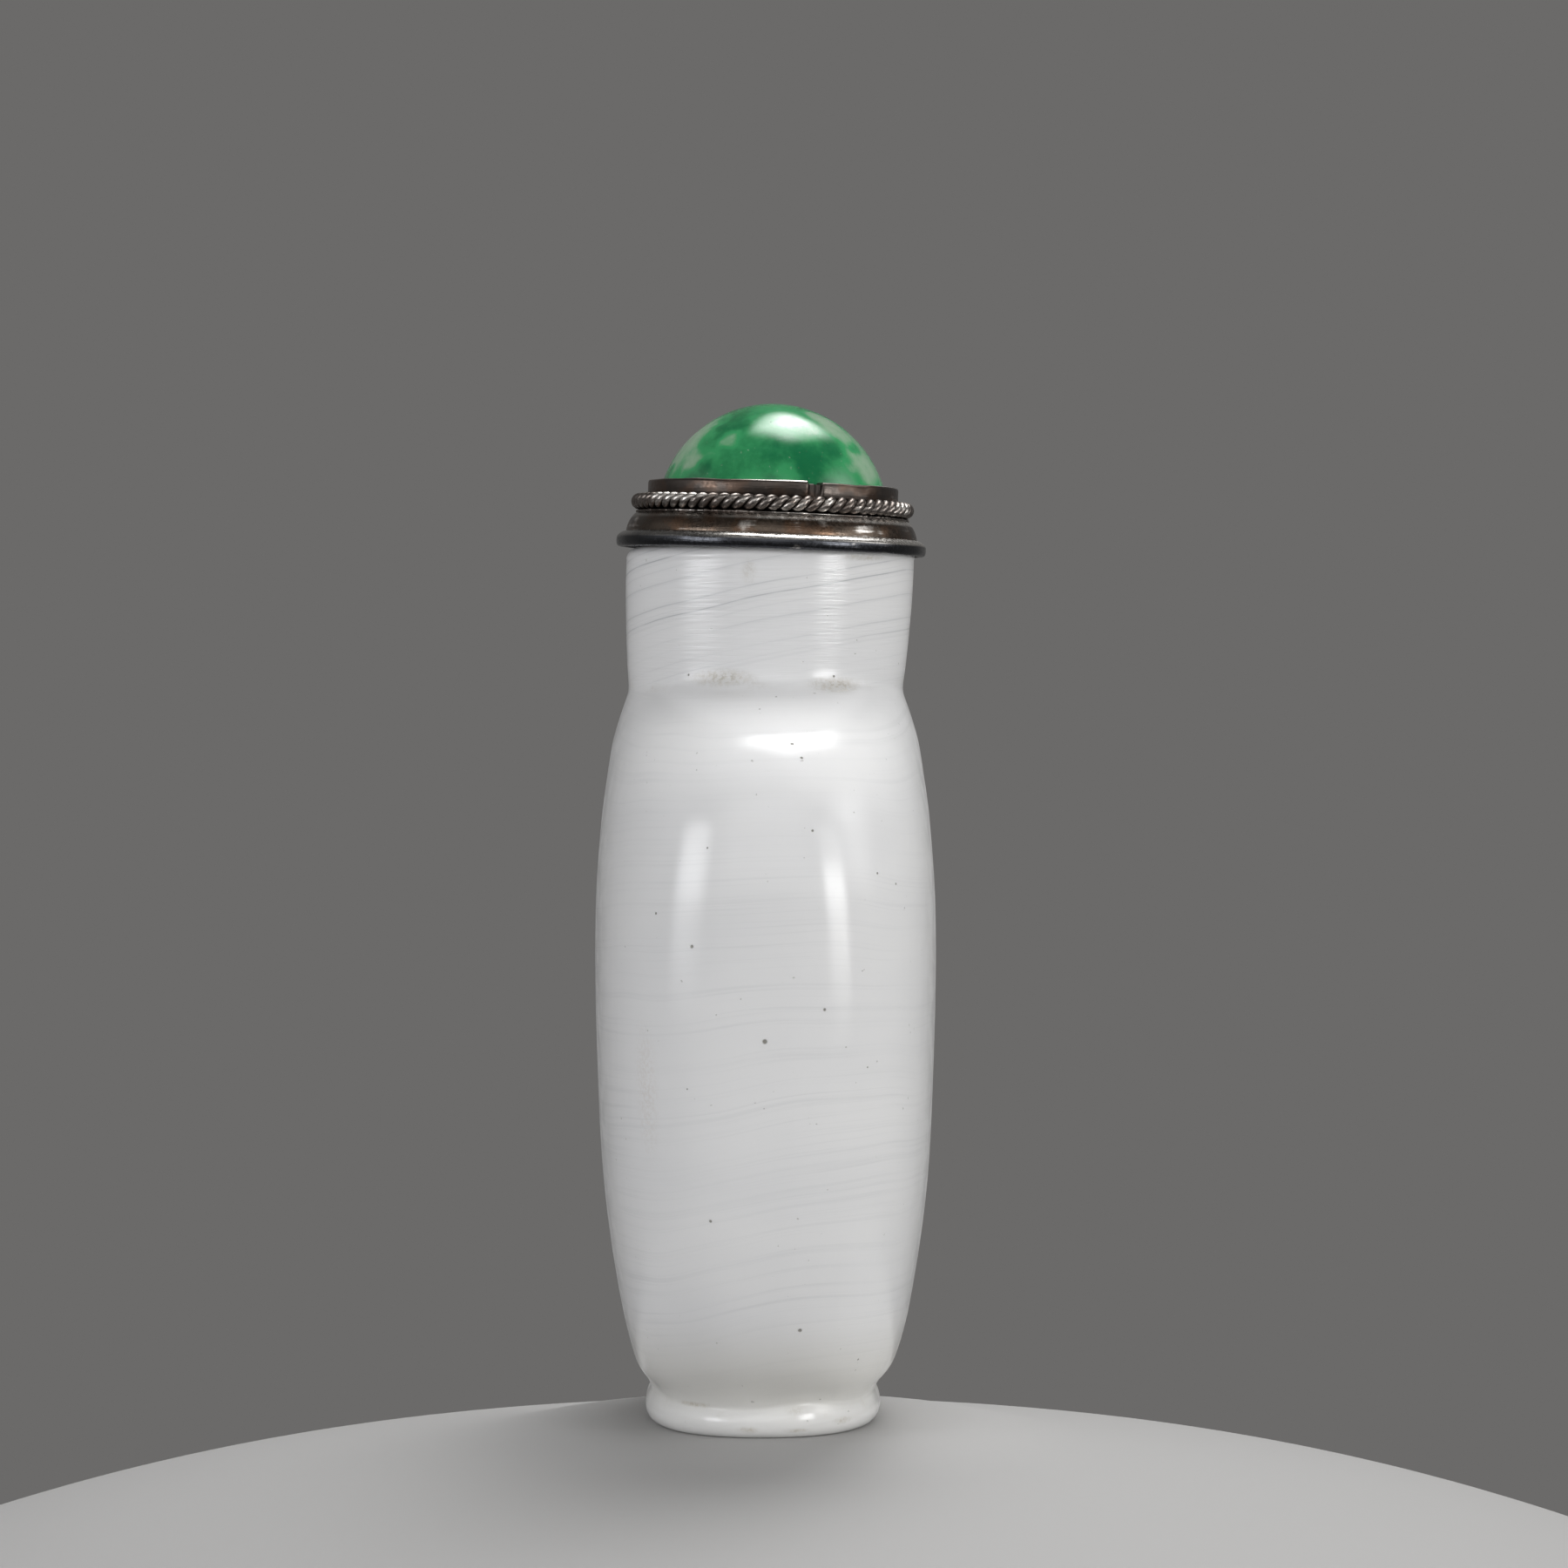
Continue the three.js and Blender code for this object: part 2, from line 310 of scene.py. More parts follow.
def foot_run():
    """From the middle of the recess out to the rim, and round the bead to just under the crease."""
    rim_x, rim_y = FOOT_RIM
    bulge_x, bulge_y, bulge_height = FOOT_BULGE
    under = [(FOOT_RIM_WIDTH + share, FOOT_RECESS) for share in (4.0, 2.4, 1.2, 0.9)]
    edge = arc((FOOT_RIM_WIDTH + 0.25, FOOT_RECESS - 0.5), (0.5, 0.5), 80, 10, 4)
    inner = [(rim_x - inset, rim_y - inset, height) for inset, height in [*under, *edge]]
    flat = [(rim_x - inset, rim_y - inset, 0) for inset in (FOOT_RIM_WIDTH, 0.5, 0.1)]
    bead = []
    for share, height in arc((0, bulge_height), (1, bulge_height), -88, 42, 16):
        bead.append((rim_x + (bulge_x - rim_x) * share, rim_y + (bulge_y - rim_y) * share, height))
    return inner, [*flat, *bead]


def lip_run():
    """Over the rounded lip and into the mouth."""
    start = LIP_HEIGHT - LIP_ROUNDING
    over = arc((NECK_TOP_RADIUS - LIP_ROUNDING, start), (LIP_ROUNDING, LIP_ROUNDING), 8, 90, 9)
    mouth = arc((BORE_RADIUS + 0.4, LIP_HEIGHT - 0.4), (0.4, 0.4), 90, 180, 5)
    bore = [(BORE_RADIUS, height) for height in (53.0, 50.0, 48.0)]
    return [(radius, radius, height) for radius, height in [*over, *mouth, *bore]]


def build_bottle():
    under, bead = foot_run()
    rings = [plain_ring(*station) for station in under]
    rings += [wall_ring(*station) for station in bead]
    rings += [wall_ring(*station) for station in spline(WALL, WALL_STEPS)]
    rings += [plain_ring(*station) for station in [*lip_run(), *spline(HOLLOW, HOLLOW_STEPS)]]
    return loft("glass_bottle", rings, poles=[(0, 0, FOOT_RECESS), (0, 0, HOLLOW_FLOOR)])


# ---- the stopper -------------------------------------------------------------------------


# The rim wire's section, as (radius, height): a flattened outer face, and a rubbed edge above it.
RIM_SECTION = [
    (9.4, 0.0),
    (9.72, 0.0),
    (9.86, 0.05),
    (9.93, 0.14),
    (9.958, 0.27),
    (9.965, 0.42),
    (9.955, 0.56),
    (9.925, 0.68),
    (9.86, 0.77),
    (9.76, 0.85),
    (9.64, 0.93),
    (9.53, 0.985),
    (9.4, 1.0),
]


def build_rim_wire():
    return turned("silver_rim_wire", RIM_SECTION, wear=0.04, seed=4.0, closed=True)


def build_plate():
    edge = RIM_RADIUS - RIM_THICKNESS - 0.04  # just inside the rim wire
    under = [(radius, PLATE_UNDERSIDE) for radius in (4.0, 7.0, edge - 0.1)]
    side = [(edge, PLATE_UNDERSIDE + 0.08), (edge, RIM_HEIGHT - 0.1)]
    shoulder = []
    for out, up in arc((0, 0), (1, 1), 0, 90, 16):
        radius = PLATE_TOP_RADIUS + (edge - PLATE_TOP_RADIUS) * max(0.0, out) ** PLATE_SLOPE
        shoulder.append((radius, RIM_HEIGHT + (PLATE_TOP - RIM_HEIGHT) * up**PLATE_SLOPE))
    top = [(radius, PLATE_TOP) for radius in (8.2, 7.0, 4.0)]
    return turned("silver_plate", [*under, *side, *shoulder, *top], wear=0.045, seed=11.0)


def build_bezel():
    """The strip round the stone: its top edge is burnished inwards, and its ends are lapped."""
    foot, top = PLATE_TOP + PIECE_GAP, BEZEL_TOP
    half_seam = SEAM_WIDTH / BEZEL_RADIUS / 2
    section = [(0.0, foot), (0.0, top - 0.2), (0.03, top - 0.09), (0.1, top - 0.02), (0.2, top)]
    section += [(0.84, top + 0.02), (0.86, top - 0.05), (0.7, top - 0.2)]
    section += [(0.45, top - 0.6), (0.45, foot)]
    rings = []
    for angle in np.linspace(0, 2 * math.pi, BEZEL_SEGMENTS, endpoint=False):
        from_seam = math.remainder(angle - math.radians(SEAM_ANGLE), 2 * math.pi)
        beyond_seam = (abs(from_seam) - half_seam) * BEZEL_RADIUS
        notch = 0.5 - 0.5 * math.tanh(beyond_seam / BEZEL_EDGE_SOFTNESS)
        overlap = 0.5 - 0.5 * math.tanh((from_seam - half_seam - 0.45) / 0.03)
        past_seam = 0.06 * overlap * (from_seam > 0)
        edge = 0.06 * noise.noise(Vector((3 * math.cos(angle), 3 * math.sin(angle), 0.5)))
        ring = []
        for inset, height in section:
            on_outside = inset < 0.3
            radius = BEZEL_RADIUS - inset - (0.2 * notch if on_outside else 0)
            if height > top - 0.2:
                height += edge - 0.16 * notch - past_seam - 0.02
            ring.append((radius * math.cos(angle), radius * math.sin(angle), height))
        rings.append(ring)
    return loft("silver_bezel", rings, place=STOPPER)


def build_stone():
    foot = PLATE_TOP + PIECE_GAP
    girdle = math.degrees(math.asin((foot + 0.1 - DOME_CENTRE) / DOME_HALF_HEIGHT))
    dome = arc((0, DOME_CENTRE), (DOME_HALF_WIDTH, DOME_HALF_HEIGHT), girdle, 89.6, 70)
    under = [(3.5, foot), (DOME_HALF_WIDTH - 0.15, foot), (DOME_HALF_WIDTH - 0.05, foot + 0.04)]
    return turned("jade_stone", [*under, *dome], wear=0.03, seed=21.0)


def twisted_wire_tree(material):
    """Strands laid round each other along a ring, all sizes in millimetres."""
    tree = bpy.data.node_groups.new("Twisted wire", "GeometryNodeTree")
    sizes = [
        ("Ring radius", "NodeSocketFloat"),
        ("Lay radius", "NodeSocketFloat"),
        ("Strand radius", "NodeSocketFloat"),
        ("Turns", "NodeSocketFloat"),
        ("Strands", "NodeSocketInt"),
        ("Steps", "NodeSocketInt"),
        ("Sides", "NodeSocketInt"),
    ]
    for name, kind in sizes:
        tree.interface.new_socket(name, in_out="INPUT", socket_type=kind)
    tree.interface.new_socket("Wire", in_out="OUTPUT", socket_type="NodeSocketGeometry")
    given = tree.nodes.new("NodeGroupInput").outputs

    def add(kind, **inputs):
        node = tree.nodes.new(kind)
        for name, value in inputs.items():
            socket = node.inputs[name.replace("_", " ")]
            if isinstance(value, bpy.types.NodeSocket):
                tree.links.new(value, socket)
            else:
                socket.default_value = value
        return node

    def reckon(operation, *values):
        node = tree.nodes.new("ShaderNodeMath")
        node.operation = operation
        for socket, value in zip(node.inputs, values):
            if isinstance(value, bpy.types.NodeSocket):
                tree.links.new(value, socket)
            else:
                socket.default_value = value
        return node.outputs[0]

    ring = add("GeometryNodeCurvePrimitiveCircle", Resolution=given["Steps"], Radius=given["Ring radius"])
    strands = tree.nodes.new("GeometryNodeDuplicateElements")
    strands.domain = "SPLINE"
    tree.links.new(ring.outputs["Curve"], strands.inputs["Geometry"])
    tree.links.new(given["Strands"], strands.inputs["Amount"])
    along = add("GeometryNodeSplineParameter").outputs["Factor"]
    around = reckon("MULTIPLY", along, 2 * math.pi)
    share = reckon("DIVIDE", strands.outputs["Duplicate Index"], given["Strands"])
    lead = reckon("MULTIPLY", share, 2 * math.pi)
    twist = reckon("MULTIPLY_ADD", around, given["Turns"], lead)
    outward = reckon("MULTIPLY_ADD", reckon("COSINE", twist), given["Lay radius"], given["Ring radius"])
    upward = reckon("MULTIPLY", reckon("SINE", twist), given["Lay radius"])
    path = add(
        "ShaderNodeCombineXYZ",
        X=reckon("MULTIPLY", outward, reckon("COSINE", around)),
        Y=reckon("MULTIPLY", outward, reckon("SINE", around)),
        Z=upward,
    )
    laid = add("GeometryNodeSetPosition", Geometry=strands.outputs["Geometry"], Position=path.outputs[0])
    round_section = add(
        "GeometryNodeCurvePrimitiveCircle", Resolution=given["Sides"], Radius=given["Strand radius"]
    )
    section = round_section.outputs["Curve"]
    drawn = add("GeometryNodeCurveToMesh", Curve=laid.outputs["Geometry"], Profile_Curve=section)
    smooth = add("GeometryNodeSetShadeSmooth", Geometry=drawn.outputs["Mesh"])
    real = add("GeometryNodeRealizeInstances", Geometry=smooth.outputs["Geometry"])
    finished = add("GeometryNodeSetMaterial", Geometry=real.outputs["Geometry"], Material=material)
    result = tree.nodes.new("NodeGroupOutput")
    tree.links.new(finished.outputs["Geometry"], result.inputs["Wire"])
    return tree


def build_twisted_wire(material):
    """The wire from its tree as a plain mesh, then bent a little here and there and laid on the disc."""
    tree = twisted_wire_tree(material)
    former = bpy.data.objects.new("wire_former", bpy.data.meshes.new("wire_former"))
    bpy.context.scene.collection.objects.link(former)
    modifier = former.modifiers.new("Twisted wire", "NODES")
    modifier.node_group = tree
    wanted = {
        "Ring radius": TWIST_RING_RADIUS,
        "Lay radius": STRAND_LAY,
        "Strand radius": STRAND_RADIUS,
        "Turns": float(TWIST_TURNS),
        "Strands": 2,
        "Steps": TWIST_TURNS * STEPS_PER_TURN,
        "Sides": STRAND_SIDES,
    }
    for item in tree.interface.items_tree:
        if item.in_out == "INPUT":
            modifier[item.identifier] = wanted[item.name]
    dressed = former.evaluated_get(bpy.context.evaluated_depsgraph_get())
    mesh = bpy.data.meshes.new_from_object(dressed)
    former.modifiers.remove(modifier)
    bpy.data.objects.remove(former)
    for vertex in mesh.vertices:
        where = vertex.co.copy()
        sway = noise.noise(Vector((where.x * 0.22, where.y * 0.22, 2.0)))
        rise = noise.noise(Vector((where.x * 0.3, where.y * 0.3, 6.0)))
        outward = Vector((where.x, where.y, 0)).normalized()
        height = TWIST_HEIGHT + 0.03 * rise + 0.01
        vertex.co = where + outward * (0.03 * sway - 0.02) + Vector((0, 0, height))
    mesh.transform(Matrix.Scale(MM, 4) @ STOPPER)
    if inside_out(mesh):
        mesh.flip_normals()
    mesh.name = "twisted_silver_wire"
    piece = bpy.data.objects.new("twisted_silver_wire", mesh)
    bpy.context.scene.collection.objects.link(piece)
    return piece


def build_solder():
    """The rough bead of solder that shows here and there under the twisted wire."""
    rings = []
    for angle in np.linspace(0, 2 * math.pi, SOLDER_SEGMENTS, endpoint=False):
        around = Vector((math.cos(angle), math.sin(angle), 0))
        size = 0.06 + 0.14 * noise.noise(around * 7) + 0.07 * noise.noise(around * 34)
        size = max(SOLDER_LEAST, size)
        middle = SOLDER_RADIUS + 0.1 * noise.noise(around * 9 + Vector((3, 0, 0)))
        ring = []
        for turn in np.linspace(0, 2 * math.pi, 8, endpoint=False):
            radius = middle + 1.5 * size * math.cos(turn)
            ring.append((radius * around.x, radius * around.y, SOLDER_HEIGHT + size * math.sin(turn)))
        rings.append(ring)
    return loft("silver_solder", rings, place=STOPPER)


# ---- materials ---------------------------------------------------------------------------

CLEAR_MILK = (0.85, 0.85, 0.85)
HAZY_MILK = (0.815, 0.817, 0.822)
VEIN_GREY = (0.3, 0.32, 0.34)
# A darker, warmer tone mixed in towards the foot.
LOW_GLASS_TONE = (0.74, 0.73, 0.69)
CREASE_DIRT = (0.4, 0.36, 0.28)
BROWN_STAIN = (0.6, 0.52, 0.45)
BUBBLE_DARK = (0.31, 0.3, 0.27)

PALE_SILVER = (0.72, 0.69, 0.65)
WARM_TARNISH = (0.2, 0.095, 0.045)
# Black for grime and painted shade in the silver's hollows and between its pieces.
BLACK_GRIME_AND_SHADE = (0.02, 0.015, 0.012)

PALE_JADE = (0.27, 0.41, 0.28)
APPLE_JADE = (0.033, 0.3, 0.108)
DEEP_JADE = (0.002, 0.14, 0.048)
PORE_WHITE = (0.45, 0.55, 0.42)

CORK_DARK = (0.33, 0.19, 0.09)
CORK_LIGHT = (0.55, 0.37, 0.2)
CORK_HOLE = (0.09, 0.045, 0.02)

class Finish:
    """A material being built: each method adds a node and returns the socket with its result."""

    def __init__(self, name):
        self.material = bpy.data.materials.new(name)
        self.material.use_nodes = True
        self.tree = self.material.node_tree
        self.tree.nodes.clear()
        self.shader = self.tree.nodes.new("ShaderNodeBsdfPrincipled")
        output = self.tree.nodes.new("ShaderNodeOutputMaterial")
        self.tree.links.new(self.shader.outputs["BSDF"], output.inputs["Surface"])

    def feed(self, socket, value):
        """Links another node's socket, or sets a plain value."""
        if isinstance(value, bpy.types.NodeSocket):
            self.tree.links.new(value, socket)
        else:
            socket.default_value = value

    def surface(self, **values):
        for name, value in values.items():
            self.feed(self.shader.inputs[name.replace("_", " ")], value)

    def place(self, held_by=None):
        """Where a point is, in millimetres, in the bottle's frame or in that of the stopper."""
        coordinates = self.tree.nodes.new("ShaderNodeTexCoord")
        mapping = self.tree.nodes.new("ShaderNodeMapping")
        self.tree.links.new(coordinates.outputs["Object"], mapping.inputs["Vector"])
        mapping.inputs["Scale"].default_value = (1 / MM, 1 / MM, 1 / MM)
        if held_by is not None:
            back = held_by.inverted()
            mapping.inputs["Rotation"].default_value = back.to_euler("XYZ")
            mapping.inputs["Location"].default_value = back.translation
        return mapping.outputs["Vector"]

    def math(self, operation, *values, clamp=False):
        node = self.tree.nodes.new("ShaderNodeMath")
        node.operation = operation
        node.use_clamp = clamp
        for socket, value in zip(node.inputs, values):
            self.feed(socket, value)
        return node.outputs[0]

    def vector_math(self, operation, *values):
        node = self.tree.nodes.new("ShaderNodeVectorMath")
        node.operation = operation
        for socket, value in zip(node.inputs, values):
            self.feed(socket, value)
        return node.outputs["Value"] if operation in ("DISTANCE", "LENGTH") else node.outputs["Vector"]

    def parts(self, vector):
        node = self.tree.nodes.new("ShaderNodeSeparateXYZ")
        self.feed(node.inputs[0], vector)
        return node.outputs[0], node.outputs[1], node.outputs[2]

    def joined(self, x, y, z):
        node = self.tree.nodes.new("ShaderNodeCombineXYZ")
        for socket, value in zip(node.inputs, (x, y, z)):
            self.feed(socket, value)
        return node.outputs[0]

    def noise(self, where, scale, detail=2.0, roughness=0.5):
        node = self.tree.nodes.new("ShaderNodeTexNoise")
        self.feed(node.inputs["Vector"], where)
        self.feed(node.inputs["Scale"], scale)
        self.feed(node.inputs["Detail"], detail)
        self.feed(node.inputs["Roughness"], roughness)
        return node.outputs[0]

    def between(self, value, low, high, to_low=0.0, to_high=1.0):
        """Carries a value smoothly from one range to another, and holds it beyond the ends."""
        node = self.tree.nodes.new("ShaderNodeMapRange")
        node.interpolation_type = "SMOOTHSTEP"
        names = ("Value", "From Min", "From Max", "To Min", "To Max")
        for name, given in zip(names, (value, low, high, to_low, to_high)):
            self.feed(node.inputs[name], given)
        return node.outputs["Result"]

    def mix(self, share, first, second):
        node = self.tree.nodes.new("ShaderNodeMix")
        node.data_type = "RGBA"
        self.feed(node.inputs[0], share)
        for socket, colour in ((node.inputs[6], first), (node.inputs[7], second)):
            self.feed(socket, colour if isinstance(colour, bpy.types.NodeSocket) else (*colour, 1.0))
        return node.outputs[2]

    def cloud(self, where, scale):
        """A noise with three separate parts, to push a pattern about with."""
        node = self.tree.nodes.new("ShaderNodeTexNoise")
        self.feed(node.inputs["Vector"], where)
        self.feed(node.inputs["Scale"], scale)
        self.feed(node.inputs["Detail"], 2.0)
        return node.outputs["Color"]

    def band(self, value, middle, half):
        """1 at a value, and smoothly down to 0 half a width away on either side."""
        away = self.math("ABSOLUTE", self.math("SUBTRACT", value, middle))
        return self.between(away, 0.0, half, 1.0, 0.0)

    def bump(self, height, depth, strength=1.0, under=None):
        """Relief of a depth given in millimetres."""
        node = self.tree.nodes.new("ShaderNodeBump")
        self.feed(node.inputs["Height"], height)
        self.feed(node.inputs["Distance"], depth * MM)
        self.feed(node.inputs["Strength"], strength)
        if under is not None:
            self.feed(node.inputs["Normal"], under)
        return node.outputs[0]

    def hollows(self, span):
        """How far a point is shut in by what is near it, from 1 in the open to 0 in a groove."""
        node = self.tree.nodes.new("ShaderNodeAmbientOcclusion")
        node.samples = 8
        self.feed(node.inputs["Distance"], span * MM)
        return node.outputs["AO"]


def on_front(x, height):
    """The point of the narrow front of the glass at this x and height, in millimetres."""
    stations = np.array(WALL)
    half_x = float(np.interp(height, stations[:, 2], stations[:, 0]))
    half_y = float(np.interp(height, stations[:, 2], stations[:, 1]))
    power = squareness(height)
    y = -half_y * (1 - abs(x / half_x) ** power) ** (1 / power)
    return (x + drift(height), y, height)


# Open bubbles in the glass, as (x, height, radius) on the narrow front.
BUBBLES = [
    (0.0, 25.24, 0.19),
    (-4.46, 31.0, 0.14),
    (-6.67, 32.97, 0.1),
    (2.16, 7.14, 0.16),
    (3.65, 27.17, 0.12),
    (2.24, 42.46, 0.12),
    (-3.33, 14.13, 0.12),
    (4.28, 47.49, 0.1),
    (-4.89, 47.58, 0.1),
    (5.82, 4.92, 0.09),
    (-1.71, 47.24, 0.08),
    (0.68, 46.22, 0.09),
    (-0.34, 45.45, 0.08),
    (2.91, 38.07, 0.1),
    (-3.51, 37.02, 0.08),
    (-4.75, 22.28, 0.07),
    (6.29, 23.56, 0.07),
    (6.9, 35.4, 0.09),
    (8.07, 34.7, 0.1),
    (1.65, 43.3, 0.14),
]
# Dirt caught in the creases, as (x, height, half length, half height, strength) on the narrow front.
SMUDGES = [
    (-2.8, 47.4, 2.8, 0.75, 0.8),
    (4.4, 46.95, 2.4, 0.7, 0.8),
    (-1.3, 54.1, 0.7, 1.1, 0.35),
    (5.9, 55.0, 2.2, 0.3, 0.7),
    (-4.3, 1.95, 1.6, 0.22, 0.8),
    (-0.9, 0.55, 0.9, 0.3, 0.7),
    (2.2, 0.5, 1.0, 0.18, 0.7),
    (5.0, 0.9, 0.8, 0.3, 0.7),
]
NECK_DIRT = 46.9  # the heights of the two dirty creases
FOOT_DIRT = 1.7
STAIN = (-7.3, 22.0)  # a long faint brown mark, as (x, height) on the narrow front
WHEEL_MARK_DEPTH = 0.022
PIT_DEPTH = 0.1
# Grey strands that wind up the neck, as (height, darkness, half thickness).
STRANDS = [
    (52.2, 0.62, 0.07),
    (52.95, 0.34, 0.09),
    (51.5, 0.15, 0.06),
    (52.5, 0.14, 0.05),
    (54.45, 0.26, 0.08),
    (51.95, 0.1, 0.05),
    (50.6, 0.1, 0.15),
]
STRAND_CLIMB = 0.6  # how far they rise per radian round the neck
STRAND_SWAY = 1.25  # how much more they rise at the front, and less behind
STRAND_LEAD = 0.35  # how far left of the front they are steepest, in radians
STRAND_WANDER = 0.4
STRAND_HALO = 4  # each has a fainter band round it, this many times as wide
HALO_DARKNESS = 0.22
FINE_STREAKS = 0.12
MID_NECK = 51.0

VEIN_TILT = 0.12  # rise per millimetre towards +X
VEIN_WAVE = (0.35, 0.6, 0.5)  # turn per millimetre, start and height
VEIN_BOW = 0.017  # how fast they fall away from the middle of the narrow faces, high up
VEIN_DROOP = 0.19  # and how fast they rise over the shoulder's wide faces
VEIN_WANDER = 1.5
VEIN_DARKNESS = 0.12


def neck_strands(glass, place, x, y, z):
    """Thin grey lines drawn out round the neck, steepest a little to the left of its front."""
    beside = glass.math("SUBTRACT", x, drift(MID_NECK))
    around = glass.math("ARCTAN2", beside, glass.math("MULTIPLY", y, -1.0))
    sway = glass.math("SINE", glass.math("ADD", around, STRAND_LEAD))
    sway = glass.math("MULTIPLY", sway, STRAND_SWAY)
    climb = glass.math("ADD", glass.math("MULTIPLY", around, STRAND_CLIMB), sway)
    wander = glass.math("SUBTRACT", glass.noise(place, 0.13, 1.0), 0.5)
    wander = glass.math("MULTIPLY", wander, STRAND_WANDER)
    level = glass.math("ADD", glass.math("SUBTRACT", z, climb), wander)
    period = 2 * math.pi * STRAND_CLIMB
    patchy = glass.between(glass.noise(place, 0.22, 2.0), 0.36, 0.6, 0.35, 1.0)
    dark = 0.0
    for height, darkness, half in STRANDS:
        away = glass.math("WRAP", glass.math("SUBTRACT", level, height), period / 2, -period / 2)
        away = glass.math("ABSOLUTE", away)
        line = glass.between(away, 0.0, half, darkness, 0.0)
        halo = glass.between(away, 0.0, STRAND_HALO * half, HALO_DARKNESS * darkness, 0.0)
        dark = glass.math("MAXIMUM", glass.math("MAXIMUM", dark, line), halo)
    dark = glass.math("MULTIPLY", dark, patchy)
    dark = glass.math("MULTIPLY", dark, glass.between(z, 49.0, 52.0, 0.3, 1.0))
    turn = glass.math("DIVIDE", level, STRAND_CLIMB)
    rise = glass.math("MULTIPLY", z, 0.06)
    ring = glass.joined(glass.math("COSINE", turn), glass.math("SINE", turn), rise)
    streak = glass.noise(glass.vector_math("MULTIPLY", ring, (1.7, 1.7, 0.5)), 1.0, 4.0, 0.6)
    return glass.math("MAXIMUM", dark, glass.between(streak, 0.56, 0.76, 0.0, FINE_STREAKS))


def body_veins(glass, place, x, y, z):
    """The faint layers of the gather: level high up, rising to +X lower down, draped on the shoulder."""
    per_mm, start, wave = VEIN_WAVE
    sway = glass.math("SINE", glass.math("MULTIPLY_ADD", x, per_mm, start))
    tilt = glass.math("ADD", glass.math("MULTIPLY", x, VEIN_TILT), glass.math("MULTIPLY", sway, wave))
    tilt = glass.math("MULTIPLY", tilt, glass.between(z, 34.0, 16.0, 0.1, 1.0))
    bow = glass.math("MULTIPLY", glass.math("MULTIPLY", x, x), VEIN_BOW)
    bow = glass.math("MULTIPLY", bow, glass.between(z, 26.0, 42.0))
    droop = glass.math("SUBTRACT", glass.math("ABSOLUTE", y), 8.0)
    droop = glass.math("MULTIPLY", droop, VEIN_DROOP)
    droop = glass.math("MULTIPLY", droop, glass.between(z, 34.0, 44.0))
    wander = glass.math("SUBTRACT", glass.noise(place, 0.09, 1.0), 0.5)
    wander = glass.math("MULTIPLY", wander, VEIN_WANDER)
    bent = glass.math("ADD", glass.math("ADD", bow, droop), wander)
    level = glass.math("ADD", glass.math("SUBTRACT", z, tilt), bent)
    across = glass.vector_math("MULTIPLY", glass.joined(x, y, level), (0.03, 0.03, 1.0))
    thin = glass.noise(glass.vector_math("MULTIPLY", across, (1.0, 1.0, 3.4)), 1.0, 4.0, 0.65)
    broad = glass.noise(glass.vector_math("MULTIPLY", across, (1.0, 1.0, 0.7)), 1.0, 2.0)
    patchy = glass.between(glass.noise(place, 0.13, 2.0), 0.35, 0.65, 0.4, 1.0)
    lines = glass.between(thin, 0.49, 0.68, 0.0, VEIN_DARKNESS)
    lines = glass.math("MULTIPLY", lines, patchy)
    lines = glass.math("MULTIPLY", lines, glass.between(broad, 0.35, 0.6, 0.55, 1.0))
    return glass.math("MULTIPLY", lines, glass.between(z, 38.0, 24.0, 0.7, 1.0))


def glass_dirt(glass, place, z, grain):
    """Dirt in both creases, thickest at the smudges."""
    patches = glass.between(glass.noise(place, 0.45, 3.0), 0.5, 0.75, 0.0, 0.35)
    creases = glass.math("MAXIMUM", glass.band(z, NECK_DIRT, 0.7), glass.band(z, FOOT_DIRT, 0.7))
    dirt = glass.math("MULTIPLY", patches, creases)
    for at_x, height, half_length, half_height, strength in SMUDGES:
        away = glass.vector_math("SUBTRACT", place, on_front(at_x, height))
        away = glass.vector_math("MULTIPLY", away, (1 / half_length, 0.3, 1 / half_height))
        smudge = glass.between(glass.vector_math("LENGTH", away), 0.1, 1.0, strength, 0.0)
        dirt = glass.math("MAXIMUM", dirt, smudge)
    return glass.math("MULTIPLY", dirt, glass.math("MULTIPLY_ADD", grain, 0.6, 0.25))


def glass_pits(glass, place):
    """The open bubbles on the front, and a scatter of tiny ones everywhere."""
    pits = 0.0
    for at_x, height, radius in BUBBLES:
        away = glass.vector_math("DISTANCE", place, on_front(at_x, height))
        pits = glass.math("MAXIMUM", pits, glass.between(away, radius, 0.45 * radius))
    tiny = glass.between(glass.noise(place, 3.2, 1.0, 0.3), 0.8, 0.83)
    return glass.math("MAXIMUM", pits, glass.math("MULTIPLY", tiny, 0.45))


